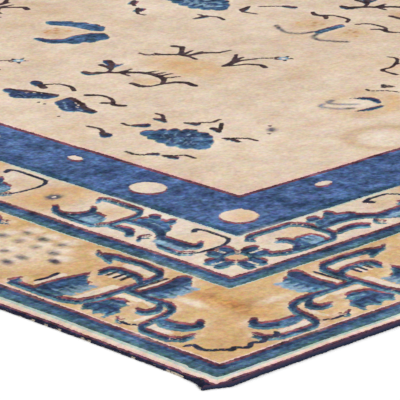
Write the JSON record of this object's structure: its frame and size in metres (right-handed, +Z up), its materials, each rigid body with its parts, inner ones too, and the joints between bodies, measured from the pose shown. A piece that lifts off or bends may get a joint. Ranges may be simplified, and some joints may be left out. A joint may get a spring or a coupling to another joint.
{
  "type": "chinese rug",
  "caption": "Flat hand-knotted wool rug with blue flowers, butterflies and twigs on a beige field, a blue band with pearls and scroll borders.",
  "frame": {"origin": "on the floor, under the middle of the rug", "axes": "+Z up from the floor through the pile, +X along the rug's length, +Y along its width"},
  "size_m": [3.1628, 2.4284, 0.008],
  "materials": {
    "wool": "matte knotted wool pile"
  },
  "bodies": {
    "root": {"rug": "wool"}
  },
  "joints": []
}
